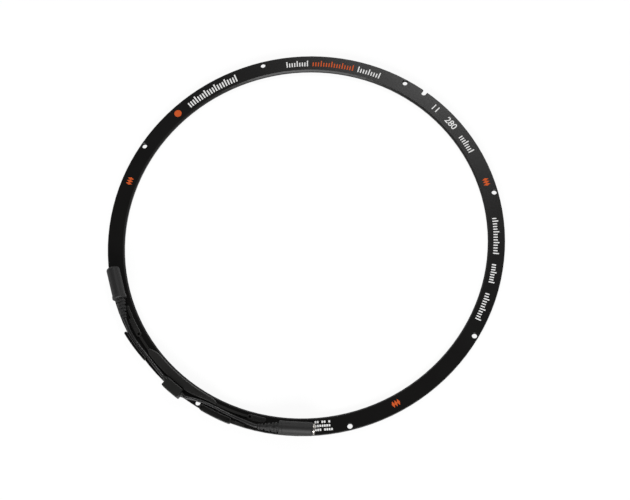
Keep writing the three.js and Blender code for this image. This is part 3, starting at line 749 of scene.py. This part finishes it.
@dataclass
class FaceMarks:
    """The plain ticks, numbers and pointers printed on the ring's face.

    Attributes:
        film: thickness of the ink, in millimetres.
        lift: how far its underside is from the face.
        dashes: the block of dashes.
        pointer: the groups of diamonds.
        dot: the disc.
        rows: the rows of ticks.
        numbers: the plain numbers.
    """

    film: float = 0.03
    lift: float = 0.003
    dashes: DashBlock = DashBlock()
    pointer: Pointer = Pointer()
    dot: Dot = Dot()
    rows: Sequence[TickRow] = (
        TickRow(98.8, 116.5, Ink.WHITE, pitch=2.3, width=1.1, tall=6.2, short=4.6),
        TickRow(75.8, 83.0, Ink.WHITE),
        TickRow(61.4, 74.8, Ink.ORANGE),
        TickRow(52.7, 60.4, Ink.WHITE),
        TickRow(14.2, 20.6, Ink.WHITE),
        TickRow(319.4, 328.4, Ink.WHITE, tall=4.4, short=3.2),
        TickRow(331.4, 337.6, Ink.WHITE, tall=4.4, short=3.2),
        TickRow(340.4, 352.2, Ink.WHITE, tall=4.4, short=3.2),
    )
    numbers: Sequence[Number] = (Number("11", 32.4), Number("280", 25.6))

    def slab(self, build: bmesh.types.BMesh, corners: Sequence[Corner]) -> None:
        """Adds one thin printed patch.

        Args:
            build: the bmesh that takes it.
            corners: its corners in millimetres, counter-clockwise.
        """
        bottom = FACE_Z + self.lift
        lower = [build.verts.new((x * MM, y * MM, bottom * MM)) for x, y in corners]
        upper = [build.verts.new((x * MM, y * MM, (bottom + self.film) * MM))
                 for x, y in corners]
        build.faces.new(list(reversed(lower)))
        build.faces.new(upper)
        for k in range(len(corners)):
            after = (k + 1) % len(corners)
            build.faces.new((lower[k], lower[after], upper[after], upper[k]))

    def patch(self, angle: float, radius: float, outline: Sequence[Corner]) -> list[Corner]:
        """Turns an outline of (along the ring, outwards) into the row frame.

        Args:
            angle: of its centre, in radians.
            radius: of its centre, in millimetres.
            outline: its corners, in millimetres.

        Returns:
            The corners in the row frame, counter-clockwise.
        """
        cos, sin = math.cos(angle), math.sin(angle)
        return [((radius + out) * cos - along * sin, (radius + out) * sin + along * cos)
                for along, out in outline]

    def box(self, near: float, far: float, reach: float) -> list[Corner]:
        """The outline of a straight mark.

        Args:
            near: its start along the ring, in millimetres.
            far: its end along the ring.
            reach: half its radial length.

        Returns:
            Its corners.
        """
        return [(far, -reach), (far, reach), (near, reach), (near, -reach)]

    def add_dashes(self, build: bmesh.types.BMesh) -> None:
        """Prints the block of dashes.

        Args:
            build: the bmesh that takes them.
        """
        block = self.dashes
        for line, places in enumerate(block.rows):
            for place in places:
                near = place * block.pitch
                outline = self.box(near, near + block.length, block.height / 2)
                self.slab(build, self.patch(math.radians(block.angle),
                                            block.radius + block.spacing * line, outline))

    def add_pointers(self, build: bmesh.types.BMesh) -> None:
        """Prints the groups of diamonds.

        Args:
            build: the bmesh that takes them.
        """
        mark = self.pointer
        outline = [(0.0, -mark.half_height), (mark.half_width, 0.0), (0.0, mark.half_height),
                   (-mark.half_width, 0.0)]
        for degrees in mark.angles:
            for step in (-1, 0, 1):
                centre = math.radians(degrees) + step * mark.pitch / mark.radius
                self.slab(build, self.patch(centre, mark.radius, outline))

    def add_dot(self, build: bmesh.types.BMesh) -> None:
        """Prints the dot.

        Args:
            build: the bmesh that takes it.
        """
        turns = (-2 * math.pi * k / self.dot.corners for k in range(self.dot.corners))
        disc = [(self.dot.size * math.cos(turn), self.dot.size * math.sin(turn))
                for turn in turns]
        self.slab(build, self.patch(math.radians(self.dot.angle), self.dot.radius, disc))

    def build_marks(self, ink: Ink) -> None:
        """Prints the marks of one ink.

        Args:
            ink: which ink.
        """
        build = bmesh.new()
        for row in self.rows:
            if row.ink is not ink:
                continue
            for angle, radius, half, reach in row.quads():
                self.slab(build, self.patch(angle, radius, self.box(-half, half, reach)))
        if ink is Ink.WHITE:
            self.add_dashes(build)
        else:
            self.add_pointers(build)
            self.add_dot(build)
        dress(mesh_object(f"printed_marks_{ink.name.lower()}", build, smooth=False),
              ink.value)

    def build_number(self, number: Number) -> None:
        """Prints a number.

        Args:
            number: which number.
        """
        curve = bpy.data.curves.new(f"printed_number_{number.digits}", "FONT")
        curve.body = number.digits
        curve.size = number.height / number.cap * MM
        curve.extrude = self.film / 2 * MM
        curve.offset = number.boldness * MM
        curve.align_x = "CENTER"
        curve.align_y = "CENTER"
        obj = bpy.data.objects.new(curve.name, curve)
        bpy.context.scene.collection.objects.link(obj)
        angle = math.radians(number.angle)
        obj.location = (number.radius * MM * math.cos(angle),
                        number.radius * MM * math.sin(angle), (FACE_Z + self.film) * MM)
        obj.rotation_euler = (0, 0, angle - math.pi / 2)
        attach(obj, "root")
        dress(obj, WHITE_INK)

    def build(self) -> None:
        """Prints everything on the face."""
        for ink in Ink:
            self.build_marks(ink)
        for number in self.numbers:
            self.build_number(number)


def rounded(points: Sequence[Corner], reach: float, most: float = 0.4) -> list[Corner]:
    """Rounds the corners of a profile.

    Args:
        points: the profile's corners, in millimetres.
        reach: how far from a corner its rounding begins.
        most: the greatest share of a side that one rounding takes.

    Returns:
        The profile with each inner corner drawn as four points of a curve.
    """
    out = [points[0]]
    for before, corner, after in zip(points, points[1:], points[2:]):
        here = Vector(corner)
        back, ahead = Vector(before) - here, Vector(after) - here
        start = here + back.normalized() * min(reach, back.length * most)
        stop = here + ahead.normalized() * min(reach, ahead.length * most)
        for t in (0.0, 1 / 3, 2 / 3, 1.0):
            spot = start * (1 - t) ** 2 + here * 2 * t * (1 - t) + stop * t ** 2
            out.append((spot.x, spot.y))
    out.append(points[-1])
    return out


@dataclass(frozen=True)
class Relief:
    """The ribs of a strain relief, each joined to the next by webs that change sides.

    Attributes:
        ribs: how many there are.
        tip_radius: radius at the lead's end.
        base_radius: radius at the body's end.
        depth: how deep the grooves are.
        web: half the width of a web.
        web_depth: how deep its top lies, as a share of the grooves' depth.
        seam: how far the mould's parting line stands up from the body.
        seam_reach: half its width.
        seam_from: it runs where the body's radius is more than this.
    """

    ribs: int = 6
    tip_radius: float = 1.9
    base_radius: float = 4.05
    depth: float = 0.85
    web: float = 0.62
    web_depth: float = 0.25
    seam: float = 0.04
    seam_reach: float = 0.3
    seam_from: float = 4.8

    @property
    def pitch(self) -> float:
        """Length of a rib, and of a groove."""
        return RELIEF_LENGTH / (2 * self.ribs)

    def cone(self, along: float) -> float:
        """Radius of the relief's outer cone at a distance from the tip."""
        return self.tip_radius + (self.base_radius - self.tip_radius) * along / RELIEF_LENGTH

    def profile(self) -> list[Corner]:
        """The relief's side, from the tip to the body."""
        points = [(0.0, 0.0)]
        for rib in range(self.ribs):
            start = 2 * rib * self.pitch
            for along, depth in ((start, 0.0), (start + self.pitch, 0.0),
                                 (start + self.pitch, self.depth),
                                 (start + 2 * self.pitch, self.depth)):
                points.append((along, self.cone(along) - depth))
        return points

    def reach(self, along: float, radius: float, turn: float) -> float:
        """Radius of the moulding at a turn, with the webs and the parting line.

        Args:
            along: distance from the tip.
            radius: radius of the plain profile.
            turn: angle about the axis.

        Returns:
            The radius there, in millimetres.
        """
        if along >= RELIEF_LENGTH:
            on_seam = abs(math.sin(turn)) * radius < self.seam_reach
            return radius + (self.seam if on_seam and radius > self.seam_from else 0.0)
        gap = int(along / self.pitch)
        side = math.sin(turn) if (gap // 2) % 2 == 0 else math.cos(turn)
        full = self.cone(along) - self.depth * self.web_depth
        in_groove = gap % 2 == 1 and 0 < radius < full
        return full if in_groove and abs(side) * full < self.web else radius


@dataclass(frozen=True)
class Body:
    """The body that the strain relief runs into: a collar, a long waist and a rounded mouth.

    Attributes:
        collar: length of the collar from the relief, with its bevel.
        bevel: size of the collar's bevels.
        waist: how much smaller the waist's radius is.
        edge: where the mouth's edge begins, from the mouth.
        edge_middle: distance of the edge's middle from the mouth, and its depth.
        lip: how much smaller the radius is at the mouth.
        corner: size of the roundings.
        facets: faces round it.
    """

    collar: float = 2.4
    bevel: float = 0.7
    waist: float = 0.35
    edge: float = 1.4
    edge_middle: Corner = (0.5, 0.45)
    lip: float = 1.4
    corner: float = 0.16
    facets: int = 80

    def profile(self, bore: float) -> list[Corner]:
        """The body's side from the relief round to the bottom of its bore.

        Args:
            bore: radius of the bore.

        Returns:
            The profile's corners.
        """
        waist = BODY_RADIUS - self.waist
        middle, depth = self.edge_middle
        return [(RELIEF_LENGTH, BODY_RADIUS - self.bevel),
                (RELIEF_LENGTH + self.bevel, BODY_RADIUS),
                (RELIEF_LENGTH + self.collar, BODY_RADIUS),
                (RELIEF_LENGTH + self.collar + self.bevel, waist),
                (MOUTH - self.edge, waist), (MOUTH - middle, waist - depth),
                (MOUTH, BODY_RADIUS - self.lip), (MOUTH, bore), (MOUTH - BORE_DEPTH, bore),
                (MOUTH - BORE_DEPTH, 0.0)]


@dataclass
class Socket:
    """An in-line socket on the end of a lead: its moulding and the parts inside.

    Attributes:
        tip: where the strain relief's tip is: distance along the edge, offset inside it.
        mouth: where the axis passes over the ring at the mouth, in the same terms.
        bore: radius of the moulding's bore.
        name: of the moulding's node.
        turned: the round inner parts: node, profile, finish and slot.
        kept: the CAD nodes that are only dressed.
        relief: the strain relief's form.
        body: the body's form.
        leaf_edge: width of the rounding on the kept nodes' edges.
    """

    tip: Corner
    mouth: Corner
    bore: float
    name: str
    turned: Sequence[tuple[str, Sequence[Corner], Finish, Slot]]
    kept: Sequence[str] = ()
    relief: Relief = Relief()
    body: Body = Body()
    leaf_edge: float = 0.05

    def place(self) -> Matrix:
        """Where the socket lies."""
        return laid_from(on_ring(*self.tip, AXIS_Z), on_ring(*self.mouth, AXIS_Z))

    def outline(self) -> list[Corner]:
        """The moulding's profile from the tip round to the bottom of its bore."""
        return rounded(self.relief.profile() + self.body.profile(self.bore), self.body.corner)

    def turn(self, node: str, build: bmesh.types.BMesh, finish: Finish, slot: Slot
             ) -> bpy.types.Object:
        """Lays a turned piece in its place, where it stands for its node.

        Args:
            node: the CAD node.
            build: the piece, its axis along +X.
            finish: the finish that it wears.
            slot: the material slot; not used.

        Returns:
            The piece.
        """
        build.transform(self.place())
        obj = dress(mesh_object(node + "_turned", build), finish)
        normals = obj.modifiers.new("even_shading", "WEIGHTED_NORMAL")
        normals.weight = FACE_WEIGHT
        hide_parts(node)
        return obj

    def build(self) -> list[bpy.types.Object]:
        """Makes every piece of the socket.

        Returns:
            The pieces that hang on the lead.
        """
        moulding = Profile(self.outline(), self.body.facets).build(self.relief.reach)
        pieces = [self.turn(self.name, moulding, SOCKET, Slot.SOCKET)]
        for node, points, finish, slot in self.turned:
            ring = Profile(points, closed=points[0][1] > 0).build()
            pieces.append(self.turn(node, ring, finish, slot))
        for node in self.kept:
            leaf = dress(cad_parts[node], NICKEL)
            soften(leaf, self.leaf_edge)
            pieces.append(leaf)
        return pieces


def tube(inner: float, outer: float, start: float, stop: float) -> list[Corner]:
    """The profile of a tube with its outer edges broken.

    Args:
        inner: inner radius, in millimetres.
        outer: outer radius.
        start: distance of its back from the strain relief's tip.
        stop: distance of its front.

    Returns:
        The profile's points.
    """
    edge = BROKEN_EDGE
    return [(start, inner), (start, outer), (stop - edge, outer), (stop, outer - edge),
            (stop, inner + edge), (stop - edge, inner)]


def cup(inner: float, outer: float, start: float, stop: float, floor: float,
        edge: float = 0.0) -> list[Corner]:
    """The profile of a tube that is closed at its back.

    Args:
        inner: inner radius, in millimetres.
        outer: outer radius.
        start: distance of its back from the strain relief's tip.
        stop: distance of its front.
        floor: thickness of its back.
        edge: how much its outer edge is broken, 0 for a sharp one.

    Returns:
        The profile's points.
    """
    front = [(stop - edge, outer), (stop, outer - edge)] if edge else [(stop, outer)]
    return [(start, 0.0), (start, outer), *front, (stop, inner), (start + floor, inner),
            (start + floor, 0.0)]


SENSOR_TIP = -67.0
SENSOR_JACK = Socket(
    tip=(SENSOR_TIP, 2.9), mouth=(SENSOR_TIP - MOUTH, 4.3), bore=SLEEVE_RADIUS + SNUG,
    name="sensor_socket_housing",
    turned=(
        ("sensor_socket_sleeve",
         tube(JACK_BORE, SLEEVE_RADIUS, BACK + JACK_INSULATOR + CLEARANCE, MOUTH),
         NICKEL, Slot.NICKEL),
        ("sensor_socket_insulator",
         cup(JACK_BORE, SLEEVE_RADIUS, BACK, BACK + JACK_INSULATOR, JACK_FLOOR),
         COVER, Slot.COVER),
    ),
    kept=("sensor_tip_contact", "sensor_ring_contact"))
POWER_TIP = 73.0
POWER_SOCKET = Socket(
    tip=(POWER_TIP, 2.4), mouth=(POWER_TIP + MOUTH, 3.5), bore=SHELL_OUTER + SNUG,
    name="power_socket_housing",
    turned=(
        ("power_socket_shell", tube(SHELL_INNER, SHELL_OUTER, BACK, MOUTH + SHELL_PROUD),
         NICKEL, Slot.NICKEL),
        ("power_socket_insulator", tube(NYLON_INNER, NYLON_OUTER, BACK, MOUTH),
         NYLON, Slot.NYLON),
        ("power_socket_contact",
         cup(CONTACT_BORE, CONTACT_OUTER, BACK, MOUTH, CONTACT_FLOOR, edge=BROKEN_EDGE),
         NICKEL, Slot.NICKEL),
    ))


@dataclass(frozen=True)
class Camera:
    """Where the photograph was taken from.

    Attributes:
        place: in metres.
        right: towards the picture's right.
        up: towards its top.
        back: from the scene towards the camera.
        lens: focal length in millimetres.
        sensor: width of the sensor in millimetres.
    """

    place: Point = (0.00266, -0.34132, 1.02455)
    right: Point = (0.97195, -0.22461, -0.06979)
    up: Point = (0.23519, 0.92464, 0.29956)
    back: Point = (-0.00276, -0.30757, 0.95152)
    lens: float = 80.0
    sensor: float = 36.0

    def build(self) -> None:
        """Sets the camera up."""
        data = bpy.data.cameras.new("camera")
        data.lens = self.lens
        data.sensor_width = self.sensor
        camera = bpy.data.objects.new("camera", data)
        bpy.context.scene.collection.objects.link(camera)
        turn = Matrix((self.right, self.up, self.back)).transposed().to_4x4()
        camera.matrix_world = Matrix.Translation(self.place) @ turn
        bpy.context.scene.camera = camera


@dataclass(frozen=True)
class Lamp:
    """A soft rectangular lamp.

    Attributes:
        name: the lamp's name.
        place: in metres.
        towards: the point that it faces.
        size: its width and height in metres.
        power: in watts.
    """

    name: str
    place: Point
    towards: Point
    size: tuple[float, float]
    power: float

    def build(self) -> None:
        """Hangs the lamp."""
        data = bpy.data.lights.new(self.name, "AREA")
        data.shape = "RECTANGLE"
        data.size, data.size_y = self.size
        data.energy = self.power
        lamp = bpy.data.objects.new(self.name, data)
        bpy.context.scene.collection.objects.link(lamp)
        lamp.location = self.place
        aim = Vector(self.towards) - Vector(self.place)
        lamp.rotation_euler = aim.to_track_quat("-Z", "Y").to_euler()


@dataclass(frozen=True)
class Floor:
    """The pale floor that the ring rests on.

    Attributes:
        half: half its width in metres.
        drop: how far it lies below the ring, in metres.
        grey: reflectance of its matte part.
        glow: strength of the light that it shows to the camera.
        share: share of that light in what the camera sees; the rest keeps the shadow.
    """

    half: float = 3.0
    drop: float = 0.0002
    grey: float = 0.9
    glow: float = 1.05
    share: float = 0.86

    def build(self) -> None:
        """Lays the floor."""
        build = bmesh.new()
        corners = [(-self.half, -self.half), (self.half, -self.half), (self.half, self.half),
                   (-self.half, self.half)]
        build.faces.new([build.verts.new((x, y, -self.drop)) for x, y in corners])
        mesh = bpy.data.meshes.new("floor")
        build.to_mesh(mesh)
        build.free()
        floor = bpy.data.objects.new("floor", mesh)
        bpy.context.scene.collection.objects.link(floor)
        floor.data.materials.append(self.material())

    def material(self) -> bpy.types.Material:
        """Builds the floor's material, brighter to the camera than to the other rays.

        Returns:
            The material.
        """
        material = bpy.data.materials.new("pale_floor")
        material.use_nodes = True
        nodes, links = material.node_tree.nodes, material.node_tree.links
        nodes.clear()
        out = nodes.new("ShaderNodeOutputMaterial")
        matte = nodes.new("ShaderNodeBsdfDiffuse")
        matte.inputs["Color"].default_value = (self.grey, self.grey, self.grey, 1)
        glow = nodes.new("ShaderNodeEmission")
        glow.inputs["Color"].default_value = (1, 1, 1, 1)
        glow.inputs["Strength"].default_value = self.glow
        rays = nodes.new("ShaderNodeLightPath")
        seen = nodes.new("ShaderNodeMath")
        seen.operation = "MULTIPLY"
        seen.inputs[1].default_value = self.share
        links.new(rays.outputs["Is Camera Ray"], seen.inputs[0])
        mix = nodes.new("ShaderNodeMixShader")
        links.new(seen.outputs["Value"], mix.inputs["Fac"])
        links.new(matte.outputs["BSDF"], mix.inputs[1])
        links.new(glow.outputs["Emission"], mix.inputs[2])
        links.new(mix.outputs["Shader"], out.inputs["Surface"])
        return material


@dataclass(frozen=True)
class Tent:
    """The white surroundings, which are dark overhead.

    Attributes:
        low: up to this height of a direction the tent is bright.
        high: from this height on it is dark.
        bright: strength near the floor.
        dark: strength overhead.
    """

    low: float = 0.3
    high: float = 0.8
    bright: float = 0.8
    dark: float = 0.125

    def build(self) -> None:
        """Puts the tent up; the camera itself sees plain white."""
        world = bpy.data.worlds.new("studio")
        world.use_nodes = True
        nodes, links = world.node_tree.nodes, world.node_tree.links
        background = nodes["Background"]
        background.inputs["Color"].default_value = (1, 1, 1, 1)
        coordinates = nodes.new("ShaderNodeTexCoord")
        parts = nodes.new("ShaderNodeSeparateXYZ")
        links.new(coordinates.outputs["Generated"], parts.inputs["Vector"])
        tent = nodes.new("ShaderNodeMapRange")
        tent.inputs["From Min"].default_value = self.low
        tent.inputs["From Max"].default_value = self.high
        tent.inputs["To Min"].default_value = self.bright
        tent.inputs["To Max"].default_value = self.dark
        links.new(parts.outputs["Z"], tent.inputs["Value"])
        rays = nodes.new("ShaderNodeLightPath")
        level = nodes.new("ShaderNodeMath")
        level.operation = "MAXIMUM"
        links.new(rays.outputs["Is Camera Ray"], level.inputs[0])
        links.new(tent.outputs["Result"], level.inputs[1])
        links.new(level.outputs["Value"], background.inputs["Strength"])
        bpy.context.scene.world = world
        bpy.context.scene.view_settings.view_transform = "Standard"


@dataclass(frozen=True)
class Studio:
    """The camera, the floor, the tent and the lamps.

    Attributes:
        camera: where the picture is taken from.
        floor: what the ring rests on.
        tent: what surrounds it.
        lamps: what lights it.
    """

    camera: Camera = Camera()
    floor: Floor = Floor()
    tent: Tent = Tent()
    lamps: Sequence[Lamp] = (
        Lamp("key", (0.4, 0.78, 1.2), (0.04, 0.08, 0.0), (0.3, 0.26), 5.0),
        Lamp("fill", (-0.4, -1.25, 0.75), (0.0, 0.0, 0.0), (1.4, 0.5), 20.0),
    )

    def build(self) -> None:
        """Sets up the whole studio."""
        self.camera.build()
        self.floor.build()
        self.tent.build()
        for lamp in self.lamps:
            lamp.build()


def main() -> None:
    """Builds the ring's pieces in order and the studio round them."""
    logging.basicConfig(level=logging.INFO, format="%(name)s: %(message)s")
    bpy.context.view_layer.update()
    Studio().build()
    RingBody().build()
    CableCover().build()
    ExitBlock().build()
    EdgeGuides().build()
    FaceMarks().build()
    Lead(Side.SENSOR, SENSOR_ROUTE, SENSOR_JACK.build()).build()
    Lead(Side.POWER, POWER_ROUTE, POWER_SOCKET.build()).build()
    bpy.context.view_layer.update()


if __name__ == "__main__":
    main()
